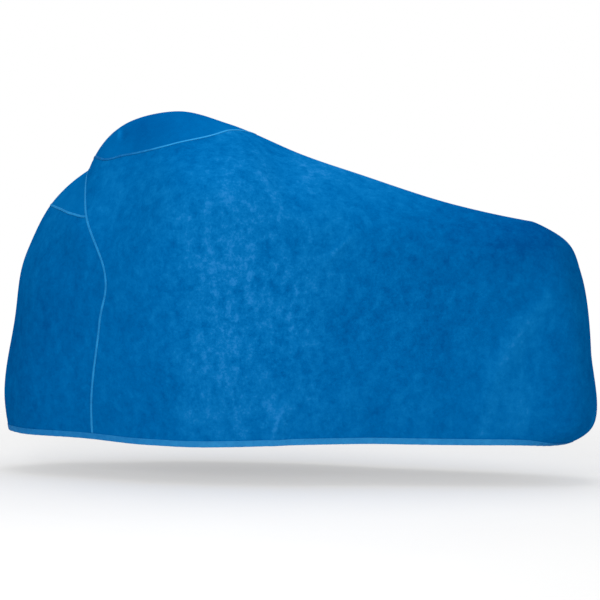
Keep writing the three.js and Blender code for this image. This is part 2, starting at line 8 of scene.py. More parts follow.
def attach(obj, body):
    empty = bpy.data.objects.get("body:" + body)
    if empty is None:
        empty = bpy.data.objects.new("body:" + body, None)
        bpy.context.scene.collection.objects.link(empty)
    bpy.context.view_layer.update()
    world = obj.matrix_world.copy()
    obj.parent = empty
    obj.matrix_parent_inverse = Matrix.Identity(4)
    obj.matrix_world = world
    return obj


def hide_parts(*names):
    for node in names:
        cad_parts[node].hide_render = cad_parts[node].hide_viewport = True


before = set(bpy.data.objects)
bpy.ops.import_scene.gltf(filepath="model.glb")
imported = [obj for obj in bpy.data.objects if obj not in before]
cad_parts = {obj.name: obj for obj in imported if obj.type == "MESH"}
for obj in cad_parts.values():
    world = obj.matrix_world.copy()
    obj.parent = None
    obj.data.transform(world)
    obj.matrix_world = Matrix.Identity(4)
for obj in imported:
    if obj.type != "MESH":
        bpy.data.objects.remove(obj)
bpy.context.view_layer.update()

# Side panels
# Two large panels of napped stretch cloth, one for each side, cut from the front seam back to the tail.
# They are sewn to each other along the ridge and down the tail, and hang taut to the bound lower edge.
FLIP = np.array([1.0, -1.0, 1.0])
UNDER_CROWN = np.array([-500.0, 0.0, 1427.0])
LEVELS = np.array([0, 0.09, 0.36, 0.66, 0.85, 1])
# Ribs of the worn shape in millimetres: x, distance out and height above the floor,
# at the hem, skirt, waist, shoulder, edge and top
RIBS = {
    "front centre": [(-1189, 0, 160), (-1205, 0, 270), (-1160, 0, 600),
                     (-1104, 0, 882), (-990, 0, 1085), (-845, 0, 1204)],
    "nose quarter": [(-1105, 140, 160), (-1118, 148, 270), (-1075, 165, 600),
                     (-1015, 155, 870), (-930, 100, 1070), (-845, 0, 1204)],
    "front seam": [(-767, 270, 158), (-766, 292, 270), (-718, 345, 600),
                   (-694, 358, 820), (-796, 250, 1035), (-845, 0, 1204)],
    "crown front": [(-560, 335, 149), (-555, 352, 270), (-545, 395, 590),
                    (-550, 410, 930), (-655, 190, 1235), (-711, 0, 1375)],
    "dome": [(-370, 360, 146), (-375, 378, 270), (-385, 425, 590),
             (-400, 446, 1075), (-445, 235, 1300), (-500, 0, 1429)],
    "crown back": [(-185, 358, 150), (-190, 376, 272), (-200, 418, 590),
                   (-225, 452, 1110), (-235, 235, 1275), (-286, 0, 1379)],
    "ridge high": [(55, 335, 160), (50, 350, 275), (40, 385, 570),
                   (30, 385, 1035), (15, 190, 1190), (8, 0, 1257)],
    "ridge middle": [(270, 290, 163), (265, 305, 275), (260, 322, 545),
                     (250, 317, 980), (240, 160, 1124), (235, 0, 1180)],
    "ridge low": [(615, 235, 160), (615, 246, 275), (615, 256, 525),
                  (610, 236, 905), (610, 110, 1027), (607, 0, 1062)],
    "rear": [(868, 186, 158), (882, 204, 240), (884, 212, 510),
             (884, 188, 868), (896, 86, 974), (905, 0, 998)],
    "tail quarter": [(995, 105, 149), (1067, 134, 198), (1086, 140, 505),
                     (1046, 124, 806), (989, 64, 943), (905, 0, 998)],
    "tail centre": [(1047, 0, 147), (1127, 0, 194), (1132, 0, 505),
                    (1092, 0, 800), (1032, 0, 926), (905, 0, 998)],
}
FRONT_SEAM, REAR, LAST = 2, 9, 11
BEYOND_TOP = {10: (825, 62, 1002), 11: (790, 0, 1026)}
CREASE_FROM = 0.7
# Folds: side, x and height of start, middle and end, breadth, depth inward
FOLDS = [
    (-1, (-150, 1315), (0, 1175), (78, 1000), 45, 10),
    (-1, (160, 848), (205, 898), (254, 948), 26, -5),
    (-1, (990, 745), (790, 530), (715, 215), 50, -10),
    (-1, (-36, 150), (-22, 235), (2, 305), 32, -9),
    (-1, (-702, 1358), (-695, 1335), (-688, 1312), 22, 5),
    (-1, (-480, 150), (-490, 260), (-480, 400), 60, 7),
    (-1, (330, 160), (340, 260), (345, 380), 70, 6),
    (1, (-180, 1315), (-40, 1180), (50, 985), 52, 11),
    (1, (965, 715), (770, 505), (660, 205), 54, -9),
    (1, (60, 780), (140, 850), (215, 900), 30, -6),
    (1, (-300, 150), (-280, 230), (-240, 330), 40, 8),
    (1, (430, 160), (420, 260), (400, 390), 70, 7),
]
# Fine creases that the cloth keeps from lying folded, in the same columns
CREASES = [
    (-1, (165, 853), (206, 898), (250, 945), 8, -2.2),
    (-1, (-716, 1360), (-709, 1339), (-703, 1318), 11, -5.0),
    (-1, (-48, 160), (-26, 240), (-2, 310), 8, -2.6),
    (-1, (-2, 160), (-4, 240), (-2, 310), 8, -1.8),
    (-1, (34, 620), (30, 670), (36, 718), 12, -1.8),
    (-1, (-175, 1280), (-55, 1150), (15, 1005), 24, -1.0),
    (-1, (984, 735), (790, 530), (717, 225), 16, -0.6),
    (1, (62, 785), (140, 848), (212, 897), 8, -2.4),
    (1, (-296, 160), (-280, 225), (-246, 320), 12, 2.8),
    (1, (-205, 1275), (-95, 1150), (-15, 990), 26, -1.0),
    (1, (958, 705), (770, 505), (662, 215), 18, -0.6),
]
FOLD_STEPS, FOLD_START, FOLD_FADES_AT = 14, 0.12, 70
# Waves of the hung cloth: breadth of the large and the small ones, share of the small ones,
# height, and the level at which they reach it
WAVE_WIDE, SMALL_WAVE_WIDE, SMALL_WAVES, WAVE_HIGH, WAVES_FULL_AT = 210, 95, 0.45, 1.1, 0.12
# Gathers above the hem: distance apart and how it wanders, length of a pull and where it is drawn from,
# height, and the level in which they fade
GATHER_APART, GATHER_WANDERS, GATHER_SWAY = 7.4, 61, 2.1
PULL_LONG, PULL_PLACE, GATHER_HIGH, GATHER_FADES = 140, (3.1, 0.7), 0.9, 0.03
PANEL_THICK = 0.002


def mix(a, b, share):
    return a + (b - a) * share


def smoothstep(x, low, high):
    share = np.clip((x - low) / (high - low), 0, 1)
    return share * share * (3 - 2 * share)


def unit(rows):
    return rows / np.maximum(np.linalg.norm(rows, axis=-1, keepdims=True), 1e-12)


def slope_between(before, at, after, gap_before, gap_after):
    rise = (at - before) * (gap_after / gap_before) + (after - at) * (gap_before / gap_after)
    return rise / (gap_before + gap_after)


def slope_at_end(at, following, after, gap, next_gap):
    near = (following - at) / gap
    far = (after - following) / next_gap
    return near + (near - far) * (gap / (gap + next_gap))


def cubic(a, b, slope_a, slope_b, gap, f):
    square, cube = f * f, f * f * f
    line = a * (2 * cube - 3 * square + 1) + b * (3 * square - 2 * cube)
    return line + slope_a * (gap * (cube - 2 * square + f)) + slope_b * (gap * (cube - square))


ribs = np.array(list(RIBS.values()), float) * FLIP
rib_at = np.concatenate([[0], np.cumsum(np.linalg.norm(np.diff(ribs[:, 2], axis=0), axis=1))])
rib_places = np.concatenate([-rib_at[2:0:-1], rib_at, 2 * rib_at[-1] - rib_at[-2:-4:-1]])
rib_gaps = np.diff(rib_places)
level_gaps = np.diff(LEVELS)
rib_slopes = np.empty_like(ribs)
for i, p in enumerate(ribs):
    rib_slopes[i, 0] = slope_at_end(p[0], p[1], p[2], level_gaps[0], level_gaps[1])
    for k in range(1, 5):
        rib_slopes[i, k] = slope_between(p[k - 1], p[k], p[k + 1], level_gaps[k - 1], level_gaps[k])
    if i < FRONT_SEAM:
        rib_slopes[i, 5] = -slope_at_end(p[5], p[4], p[3], level_gaps[4], level_gaps[3])
    else:
        over = np.array(BEYOND_TOP.get(i, p[4] * FLIP), float)
        rib_slopes[i, 5] = slope_between(p[4], p[5], over, level_gaps[4], level_gaps[4])


def left_of(rib):
    """Rib numbers past a centre line as their twins on the left, and which ones those are."""
    past = (rib < 0) | (rib > LAST)
    return np.where(rib < 0, -rib, np.where(rib > LAST, 2 * LAST - rib, rib)), past


def smooth_point(rib, level):
    """Points of the unfolded shape at rib numbers and levels, in millimetres above the floor."""
    rib, past = left_of(rib)
    level = np.maximum(level, 0)
    k = np.searchsorted(LEVELS[1:-1], level)
    f = ((level - LEVELS[k]) / level_gaps[k])[:, None]
    low, high = (ribs[:, k], rib_slopes[:, k]), (ribs[:, k + 1], rib_slopes[:, k + 1])
    rows = cubic(low[0], high[0], low[1], high[1], level_gaps[k][:, None], f)
    rows = np.concatenate([rows[2:0:-1] * FLIP, rows, rows[-2:-4:-1] * FLIP])
    before, after = rib_gaps[:-1, None, None], rib_gaps[1:, None, None]
    starts = slope_between(rows[:-2], rows[1:-1], rows[2:], before, after)[1:-1]
    ends = starts.copy()
    apart = smoothstep(level, CREASE_FROM, 1)[:, None]
    for i in (FRONT_SEAM, REAR):
        e = i + 2
        onward = slope_at_end(rows[e], rows[e + 1], rows[e + 2], rib_gaps[e], rib_gaps[e + 1])
        back = -slope_at_end(rows[e], rows[e - 1], rows[e - 2], rib_gaps[e - 1], rib_gaps[e - 2])
        starts[i] = mix(starts[i], onward, apart)
        ends[i] = mix(ends[i], back, apart)
    i = np.clip(np.floor(rib).astype(int), 0, LAST - 1)
    n = np.arange(len(rib))
    f = (rib - i)[:, None]
    point = cubic(rows[i + 2, n], rows[i + 3, n], starts[i, n], ends[i + 1, n], rib_gaps[i + 2][:, None], f)
    point[past] *= FLIP
    return point


def outward(point, rib, level):
    """Directions out of the cloth, from small steps across and up it."""
    step, across_step, below_top = 1e-4, 2e-3, 4e-3
    up, low = np.minimum(level, 1 - 2 * step), np.minimum(level, 1 - below_top)
    across = point(rib + across_step, low) - point(rib - across_step, low)
    rise = point(rib, up + step) - point(rib, np.maximum(up - step, 0))
    out = np.cross(across, rise)
    out[((level == 1) & (rib >= FRONT_SEAM)) | (rib == 0) | (rib == LAST), 1] = 0
    return out / np.linalg.norm(out, axis=1)[:, None]


def along_folds(rows, side, place):
    """How far the folds in a table push the cloth out, seen from the side."""
    push = np.zeros(len(place))
    for fold_side, start, middle, end, wide, deep in rows:
        f = np.linspace(0, 1, FOLD_STEPS + 1)[:, None]
        path = np.array(start) * (1 - f) ** 2 + np.array(middle) * 2 * f * (1 - f) + np.array(end) * f * f
        nearest, along = np.full(len(place), np.inf), np.zeros(len(place))
        for k in range(FOLD_STEPS):
            leg = path[k + 1] - path[k]
            f = np.clip((place - path[k]) @ leg / (leg @ leg), 0, 1)
            away = np.linalg.norm(place - path[k] - f[:, None] * leg, axis=1)
            along = np.where(away < nearest, (k + f) / FOLD_STEPS, along)
            nearest = np.minimum(nearest, away)
        strength = np.sin(np.pi * mix(FOLD_START, 1 - FOLD_START, along))
        push -= np.where(side == fold_side, deep, 0) * strength * np.exp(-((nearest / wide) ** 2))
    return push


def unevenness(side, point, rib, level):
    """Slight waves of the hung cloth, and the gathers that the elastic draws in above the hem."""
    turned = point * np.where(side[:, None] > 0, FLIP, 1)
    large = np.array([noise.noise(Vector(p) / WAVE_WIDE) for p in turned])
    small = np.array([noise.noise(Vector(p) / SMALL_WAVE_WIDE) for p in turned])
    waves = (large + SMALL_WAVES * small) * smoothstep(level, 0, WAVES_FULL_AT)
    run = np.interp(left_of(rib)[0], np.arange(LAST + 1), rib_at) * np.where(side > 0, -1, 1)
    pull = np.array([0.5 + 0.5 * noise.noise(Vector((r / PULL_LONG, *PULL_PLACE))) for r in run])
    sway = GATHER_SWAY * np.sin(run / GATHER_WANDERS)
    gather = np.sin(run / GATHER_APART + sway) * pull * np.exp(-level / GATHER_FADES)
    return WAVE_HIGH * waves + GATHER_HIGH * gather


def worn(side):
    """The folded cloth of one side, drawn on the left."""
    def point(rib, level):
        inner, past = left_of(rib)
        smooth = smooth_point(rib, level)
        out = outward(smooth_point, inner, level)
        out[past] *= FLIP
        here = np.where(past, -side, side)
        push = along_folds(FOLDS + CREASES, here, smooth[:, [0, 2]]) + unevenness(here, smooth, rib, level)
        return smooth + out * (push * smoothstep(np.abs(smooth[:, 1]), 0, FOLD_FADES_AT))[:, None]
    return point


def cloth(side, rib, level, directions=False):
    """Points of the cover in metres, and if asked the directions out of it."""
    side, rib, level = (np.array(a, float) for a in np.broadcast_arrays(side, rib, level))
    points, outs = np.empty((len(rib), 3)), np.empty((len(rib), 3))
    for hand in (-1, 1):
        here = side == hand
        if not here.any():
            continue
        face = FLIP if hand > 0 else 1
        points[here] = worn(hand)(rib[here], level[here]) * face
        if directions:
            outs[here] = outward(worn(hand), rib[here], level[here]) * face
    points = (points - UNDER_CROWN) / 1000
    return (points, outs) if directions else points


# Crown seam, a row per point: rib number and level
CROWN_SEAM = np.array([
    (2.16, 1), (2.5, 0.919), (3, 0.865), (3.65, 0.842), (4.2, 0.854), (4.85, 0.912), (5.36, 1),
])


def crown_level(rib):
    """Level at which a side panel ends: the middle, or the crown seam."""
    x, y = CROWN_SEAM.T
    gap = np.diff(x)
    slopes = [slope_at_end(y[0], y[1], y[2], gap[0], gap[1])]
    slopes += [slope_between(y[n - 1], y[n], y[n + 1], gap[n - 1], gap[n]) for n in range(1, len(x) - 1)]
    slopes = np.array(slopes + [-slope_at_end(y[-1], y[-2], y[-3], gap[-1], gap[-2])])
    k = np.clip(np.searchsorted(x, rib) - 1, 0, len(gap) - 1)
    seam = cubic(y[k], y[k + 1], slopes[k], slopes[k + 1], gap[k], (rib - x[k]) / gap[k])
    return np.where((rib <= x[0]) | (rib >= x[-1]), 1.0, seam)


# Patches of brushed pile with painted light and shade: x and height of the middle, reach along and up,
# lighter or darker
# Besides the pile's own tone, they paint light across the middle and lower part, and shade towards the
# front, upper rear and tail
LEFT_NAP_AND_PAINTED_LIGHT = [
    (-263, 700, 170, 520, 0.65), (40, 800, 280, 480, 0.5), (60, 1215, 200, 85, 0.6),
    (330, 1130, 200, 70, 0.3), (-202, 1141, 60, 80, 0.25), (0, 1040, 130, 90, 0.25),
    (-640, 1080, 200, 170, 0.3), (-100, 250, 650, 140, 0.25), (900, 950, 300, 140, -0.9),
    (480, 640, 260, 260, -0.15), (850, 250, 130, 120, 0.2), (1045, 430, 42, 330, -0.2),
    (-960, 1000, 100, 100, 0.35), (-1150, 400, 90, 300, -0.3), (-1080, 870, 90, 120, 0.3),
    (-950, 500, 160, 300, -0.2), (-600, 1360, 90, 70, -0.4), (-270, 1340, 110, 60, 0.3),
    (-745, 1280, 60, 60, 0.25),
]
RIGHT_NAP_AND_PAINTED_LIGHT = [
    (-180, 650, 190, 480, 0.55), (160, 740, 260, 450, 0.4), (130, 1180, 230, 90, 0.5),
    (-230, 1120, 70, 90, 0.25), (-600, 1060, 200, 170, 0.25), (-50, 250, 650, 140, 0.2),
    (820, 930, 300, 140, -0.6), (520, 600, 240, 280, -0.2), (-940, 980, 100, 100, 0.3),
    (-1150, 420, 90, 300, -0.25), (-930, 480, 160, 280, -0.25), (-580, 1350, 100, 70, -0.25),
    (-280, 1340, 110, 60, 0.35), (1040, 430, 42, 330, -0.2),
]
# Patches where the pile is ruffled into blotches, in the same columns
RUFFLED = [(-140, 720, 300, 560, 0.75), (420, 700, 300, 320, 0.35)]
RUFFLED_ELSEWHERE = 0.75
# Flat patch behind the rear fold, with painted light on it: its corners on the left and on the right
PAINTED_LIGHT_FACETS = [
    [(986, 765), (818, 505), (712, 190), (905, 190)],
    [(962, 735), (794, 480), (658, 190), (890, 190)],
]
FACET_PAINTED_LIGHT, FACET_SOFT = 0.36, 12
# Painted light and shade per millimetre of fold and of crease: painted shade in the hollows, painted light
# on the ridges
FOLD_PAINTED_SHADING, CREASE_PAINTED_SHADING = 0.04, 0.22
# The patches of the two sides run into each other within this distance of the middle
SIDES_BLEND = 60


def inside_patch(place, corners):
    """Share of a patch's shade at each place: all of it inside the corners, none outside."""
    share = np.ones(len(place))
    for a, b in zip(np.array(corners, float), np.roll(corners, -1, axis=0)):
        along = unit(b - a)
        share *= smoothstep((place - a) @ np.array([-along[1], along[0]]), -FACET_SOFT, FACET_SOFT)
    return share


def patches(table, seen):
    """Sum of the soft patches in a table at each place seen from the side."""
    total = np.zeros(len(seen))
    for x, z, along, up, amount in table:
        total += amount * np.exp(-(((seen[:, 0] - x) / along) ** 2) - ((seen[:, 1] - z) / up) ** 2)
    return total


def brush_nap_and_paint_light(mesh, tone):
    """Writes how light the pile lies at each point of a panel, with painted light and shade from the
    patches, the rear facet and the folds, and how ruffled the pile is.
    """
    place = np.array([v.co for v in mesh.vertices]) * 1000 + UNDER_CROWN
    seen = place[:, [0, 2]]
    nap_lie_and_painted_light = []
    for table, facet in zip((LEFT_NAP_AND_PAINTED_LIGHT, RIGHT_NAP_AND_PAINTED_LIGHT), PAINTED_LIGHT_FACETS):
        nap_lie_and_painted_light.append(patches(table, seen) + FACET_PAINTED_LIGHT * inside_patch(seen, facet))
    side = np.where(place[:, 1] > 0, 1, -1)
    # Painted shade in the hollows of folds and creases, and painted light on their ridges
    painted_fold_shading = FOLD_PAINTED_SHADING * along_folds(FOLDS, side, seen) + CREASE_PAINTED_SHADING * along_folds(CREASES, side, seen)
    # The pile's own tone plus painted light and shade from the patches, the rear facet and the folds
    light = mix(*nap_lie_and_painted_light, smoothstep(place[:, 1], -SIDES_BLEND, SIDES_BLEND)) + painted_fold_shading + tone
    ruffled = patches(RUFFLED, seen) + RUFFLED_ELSEWHERE
    for name, values in (("nap_and_painted_light", light), ("ruffle", ruffled)):
        mesh.attributes.new(name, "FLOAT", "POINT").data.foreach_set("value", values.astype(np.float32))


def cut_panel(name, columns, rows, chart, materials, tone=0.0):
    """A sheet of cloth laid on the worn shape; chart turns shares across and up into side, rib and level."""
    bm = bmesh.new()
    bmesh.ops.create_grid(bm, x_segments=columns, y_segments=rows, size=0.5)
    cells = np.array([columns, rows])
    shares = np.round((np.array([v.co[:2] for v in bm.verts]) + 0.5) * cells) / cells
    for v, p in zip(bm.verts, cloth(*chart(shares[:, 0], shares[:, 1]))):
        v.co = p
    bmesh.ops.remove_doubles(bm, verts=bm.verts, dist=2e-5)
    inner = [v for v in bm.verts if not v.is_boundary]
    all_ways = {"use_axis_x": True, "use_axis_y": True, "use_axis_z": True}
    bmesh.ops.smooth_vert(bm, verts=inner, factor=0.02, **all_ways)
    for face in bm.faces:
        face.smooth = True
    mesh = bpy.data.meshes.new(name)
    bm.to_mesh(mesh)
    bm.free()
    brush_nap_and_paint_light(mesh, tone)
    piece = bpy.data.objects.new(name, mesh)
    bpy.context.scene.collection.objects.link(piece)
    for material in materials:
        mesh.materials.append(material)
    wall = piece.modifiers.new("wall", "SOLIDIFY")
    wall.thickness, wall.offset = PANEL_THICK, -1
    wall.material_offset = 1
    return piece


def linear(red, green, blue):
    """Colour of a dyed cloth as the renderer counts it, from its 0 to 255 values."""
    def share(c):
        c = c / 255
        return c / 12.92 if c <= 0.04045 else ((c + 0.055) / 1.055) ** 2.4
    return (share(red), share(green), share(blue), 1.0)


class Finish:
    """A material under construction."""

    def __init__(self, name):
        self.material = bpy.data.materials.new(name)
        self.material.use_nodes = True
        self.nodes = self.material.node_tree.nodes
        self.shader = self.nodes["Principled BSDF"]
        self.place = self.nodes.new("ShaderNodeTexCoord").outputs["Object"]

    def link(self, output, socket):
        self.material.node_tree.links.new(output, socket)

    def noise(self, scale, detail, roughness, distortion=0.0, place=None):
        node = self.nodes.new("ShaderNodeTexNoise")
        settings = {"Scale": scale, "Detail": detail, "Roughness": roughness, "Distortion": distortion}
        for socket, value in settings.items():
            node.inputs[socket].default_value = value
        self.link(place or self.place, node.inputs["Vector"])
        return node.outputs["Fac"]

    def stretched(self, scale, turn=(0, 0, 0)):
        node = self.nodes.new("ShaderNodeMapping")
        node.inputs["Scale"].default_value = scale
        node.inputs["Rotation"].default_value = turn
        self.link(self.place, node.inputs["Vector"])
        return node.outputs["Vector"]

    def attribute(self, name):
        node = self.nodes.new("ShaderNodeAttribute")
        node.attribute_name = name
        return node.outputs["Fac"]

    def math(self, kind, *values):
        node = self.nodes.new("ShaderNodeMath")
        node.operation = kind
        for socket, value in zip(node.inputs, values):
            if isinstance(value, (int, float)):
                socket.default_value = value
            else:
                self.link(value, socket)
        return node.outputs[0]

    def ramp(self, share, *stops):
        node = self.nodes.new("ShaderNodeValToRGB")
        elements = node.color_ramp.elements
        while len(elements) < len(stops):
            elements.new(0.5)
        for element, (at, colour) in zip(elements, stops):
            element.position, element.color = at, colour
        self.link(share, node.inputs["Fac"])
        return node.outputs["Color"]

    def bump(self, height, strength, distance):
        node = self.nodes.new("ShaderNodeBump")
        node.inputs["Strength"].default_value = strength
        node.inputs["Distance"].default_value = distance
        self.link(height, node.inputs["Height"])
        self.link(node.outputs["Normal"], self.shader.inputs["Normal"])

    def spread(self, output, amount):
        """A noise as a number around nought."""
        return self.math("MULTIPLY", self.math("SUBTRACT", output, 0.5), amount)


def napped_cloth(name, colours, mottling):
    """Velour: short brushed pile that shades lighter and darker where it has been stroked, with painted
    light and shade carried in from its panel.
    """
    finish = Finish(name)
    drift = finish.noise(5, 2, 0.5)
    mottle = finish.noise(30, 7, 0.68, 0.2)
    strokes = finish.noise(17, 6, 0.64, 0.35, finish.stretched((1, 1, 0.45), (0, 0.3, 0)))
    tufts = finish.noise(110, 3, 0.65)
    fibres = finish.noise(430, 2, 0.7)
    blotches = finish.spread(mottle, 1.15 * mottling)
    for finer, amount in ((strokes, 0.8), (tufts, 0.5)):
        blotches = finish.math("ADD", blotches, finish.spread(finer, amount * mottling))
    shade = finish.math("MULTIPLY", blotches, finish.attribute("ruffle"))
    shade = finish.math("ADD", shade, finish.spread(drift, 0.25 * mottling))
    shade = finish.math("ADD", shade, finish.spread(fibres, 0.3))
    # Painted light and shade of the panel, added to the tone of the brushed pile
    shade = finish.math("ADD", shade, finish.math("MULTIPLY_ADD", finish.attribute("nap_and_painted_light"), 0.4, 0.45))
    finish.link(finish.ramp(shade, *colours), finish.shader.inputs["Base Color"])
    finish.link(finish.math("MULTIPLY_ADD", mottle, 0.18, 0.78), finish.shader.inputs["Roughness"])
    finish.shader.inputs["Specular IOR Level"].default_value = 0.0
    finish.shader.inputs["Sheen Weight"].default_value = 0.08
    finish.shader.inputs["Sheen Roughness"].default_value = 0.45
    finish.shader.inputs["Sheen Tint"].default_value = linear(20, 120, 215)
    pile = finish.math("ADD", finish.math("MULTIPLY", fibres, 0.5), finish.math("MULTIPLY", mottle, 0.8))
    finish.bump(pile, 0.5, 0.0012)
    return finish.material


def knit_back(name):
    """Wrong side of the cloth: a flat dull knit without pile."""
    finish = Finish(name)
    loops = finish.noise(900, 1, 0.5, 0.0, finish.stretched((1, 1, 0.6)))
    cloudy = finish.noise(12, 3, 0.5)
    shade = finish.math("ADD", finish.spread(loops, 0.5), cloudy)
    colours = ((0.2, linear(8, 62, 112)), (0.8, linear(20, 92, 148)))
    finish.link(finish.ramp(shade, *colours), finish.shader.inputs["Base Color"])
    finish.shader.inputs["Roughness"].default_value = 0.92
    finish.shader.inputs["Specular IOR Level"].default_value = 0.15
    finish.bump(loops, 0.4, 0.0006)
    return finish.material


# The dye from where the pile lies dark to where it is stroked lightest
BLUES = (
    (0.0, linear(0, 76, 142)), (0.5, linear(0, 101, 170)),
    (0.78, linear(8, 114, 183)), (1.0, linear(34, 127, 197)),
)
side_cloth = napped_cloth("napped_cloth", BLUES, 0.96)
inside = knit_back("knit_back")


def side_chart(side):
    def chart(across, up):
        across = across if side < 0 else 1 - across
        place = mix(rib_at[FRONT_SEAM], rib_at[LAST], across)
        rib = np.interp(place, rib_at, np.arange(LAST + 1))
        return side, rib, up * crown_level(rib)
    return chart


side_left = cut_panel("side_cloth_left", 280, 168, side_chart(-1), [side_cloth, inside])
side_right = cut_panel("side_cloth_right", 280, 168, side_chart(1), [side_cloth, inside])
for piece, node in ((side_left, "side_panel_left"), (side_right, "side_panel_right")):
    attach(piece, "root")
    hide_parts(node)

# Front panel
# One piece of the same cloth wrapped round the front end, between the two legs of the front seam.
# Its upper edge is sewn to the nose panel, and its lower edge goes into the binding.
NOSE_SIDE, NOSE_RISE, NOSE_RISE_SPAN, NOSE_RISE_POWER = 0.166, 0.026, (0.5, 1.04), 1.55
QUARTER = math.pi / 2


def nose_rise(column):
    """How far the nose seam rises on its way from the middle to the front seam, in levels."""
    start, end = NOSE_RISE_SPAN
    past = np.maximum((np.abs(column) - start) / (end - start), 0)
    return NOSE_RISE * np.sin(np.pi * past ** NOSE_RISE_POWER)


def nose_step(column, share):
    """Rib and level on the way from the front seam over the notch, share 0, to the nose seam, share 1."""
    turn = column * QUARTER
    reach = NOSE_SIDE + nose_rise(1) - nose_rise(column)
    sideways = mix(column * NOSE_SIDE, reach * np.sin(turn), share)
    down = reach * np.cos(turn) * share
    return FRONT_SEAM * np.arctan2(sideways, down) / QUARTER, 1 - np.hypot(sideways, down)


def front_chart(across, up):
    rib, full = nose_step(2 * across - 1, 1.0)
    return np.where(rib < 0, 1, -1), np.abs(rib), up * full


front = cut_panel("front_cloth", 128, 104, front_chart, [side_cloth, inside], tone=-0.1)
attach(front, "root")
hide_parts("front_panel")

# Nose panel
# A small panel above the front one that fills the hollow up to the notch below the crown.
# It comes to a point on either side, where the nose seam runs into the front seam.
crown_cloth = napped_cloth("crown_cloth", BLUES, 0.4)


def nose_chart(across, up):
    rib, level = nose_step(2 * across - 1, 1 - up)
    return np.where(rib < 0, 1, -1), np.abs(rib), level


nose = cut_panel("nose_cloth", 64, 26, nose_chart, [crown_cloth, inside], tone=0.1)
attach(nose, "root")
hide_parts("nose_panel")

# Crown panel
# A lens of the same cloth set in over the highest part, with its nap lying smooth.
# A taped seam runs all round it.


def crown_chart(across, up):
    rib = mix(CROWN_SEAM[0, 0], CROWN_SEAM[-1, 0], across)
    towards_middle = 1 - np.abs(2 * up - 1)
    level = mix(crown_level(rib), 1.0, towards_middle)
    return np.where(up > 0.5, 1, -1), rib, level


crown = cut_panel("crown_cloth", 140, 100, crown_chart, [crown_cloth, inside], tone=-0.25)
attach(crown, "root")
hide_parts("crown_panel")

# Seam tapes
# Narrow woven tapes of a lighter blue laid over the three seams, ten millimetres wide.
# Each is sewn down with a row of stitches along either edge.
TAPE_WIDE, TAPE_LIFT, TAPE_CROWN, TAPE_WALL = 0.010, 0.0006, 0.0010, 0.0003
TAPE_STRANDS = 8
# Stitches: thickness of the thread, length and distance from one to the next
THREAD, STITCH_LONG, STITCH_PITCH = 0.0009, 0.0034, 0.0046
# Rows of stitches: how far from the middle of the tape, as a share of its width, and how high on its crown
STITCH_ROW, STITCH_HIGH = 0.36, 0.8
# How pale each tape is: the one round the crown is dull in front and pales between two distances along it
SEAM_TAPE_PALE, CROWN_TAPE_DULL, CROWN_TAPE_PALE, TAPE_PALES = 0.25, -0.2, 0.65, (-0.2, 0.12)


def woven_tape(name, dark, light):
    """Ribbed tape: cords run lengthwise, with fine uneven dyeing."""
    finish = Finish(name)
    across = finish.attribute("across")
    cords = finish.math("SINE", finish.math("MULTIPLY", across, 2 * math.pi / 0.0022))
    worn_in = finish.noise(38, 4, 0.6, 0.4)
    thread = finish.noise(700, 2, 0.6)
    shade = finish.math("ADD", finish.spread(worn_in, 0.9), finish.spread(thread, 0.5))
    shade = finish.math("ADD", shade, finish.math("MULTIPLY_ADD", cords, 0.08, 0.4))
    shade = finish.math("ADD", shade, finish.attribute("pale"))
    finish.link(finish.ramp(shade, (0.0, dark), (1.0, light)), finish.shader.inputs["Base Color"])
    finish.shader.inputs["Roughness"].default_value = 0.72
    finish.shader.inputs["Specular IOR Level"].default_value = 0.05
    height = finish.math("ADD", finish.math("MULTIPLY", cords, 0.5), thread)
    finish.bump(height, 0.35, 0.0005)
    return finish.material


tape_weave = woven_tape("tape_weave", linear(0, 88, 156), linear(40, 152, 218))


def sideways(points, outs, ring):
    """Directions across a seam at each station, mitred where it turns."""
    if ring:
        legs = np.diff(np.concatenate([points[-1:], points, points[:1]]), axis=0)
    else:
        legs = np.diff(points, axis=0)
        legs = np.concatenate([legs[:1], legs, legs[-1:]])
    before, after = unit(np.cross(outs, legs[:-1])), unit(np.cross(outs, legs[1:]))
    return (before + after) / (1 + np.sum(before * after, axis=1))[:, None]


def even_run(points, outs, spacing, ring=False, trim=0.0):
    """Stations at even distances along a seam."""
    if ring:
        points, outs = (np.concatenate([a, a[:1]]) for a in (points, outs))
    run = np.concatenate([[0], np.cumsum(np.linalg.norm(np.diff(points, axis=0), axis=1))])
    count = max(int((run[-1] - 2 * trim) / spacing), 3)
    at = np.linspace(trim, run[-1] - trim, count + 1)[:count if ring else None]
    return tuple(np.stack([np.interp(at, run, a[:, k]) for k in range(3)], axis=1) for a in (points, outs))


def sew_strip(name, sections, across, pale, ring, thick, material):
    """A strip of cloth with the same section at each station, paler at some of them."""
    stations, width = sections.shape[:2]
    bm = bmesh.new()
    bmesh.ops.create_grid(bm, x_segments=stations if ring else stations - 1, y_segments=width - 1, size=0.5)
    side, tone = (bm.verts.layers.float.new(layer) for layer in ("across", "pale"))
    segments = stations if ring else stations - 1
    for v in bm.verts:
        k, j = round((v.co.x + 0.5) * segments), round((v.co.y + 0.5) * (width - 1))
        v[side], v[tone] = across[j], pale[k % stations]
        v.co = sections[k % stations, j]
    bmesh.ops.remove_doubles(bm, verts=bm.verts, dist=1e-6)
    bmesh.ops.recalc_face_normals(bm, faces=bm.faces)
    for face in bm.faces:
        face.smooth = True
    mesh = bpy.data.meshes.new(name)
    bm.to_mesh(mesh)
    bm.free()
    mesh.materials.append(material)
    strip = bpy.data.objects.new(name, mesh)
    bpy.context.scene.collection.objects.link(strip)
    wall = strip.modifiers.new("wall", "SOLIDIFY")
    wall.thickness, wall.offset = thick, 0
    return strip


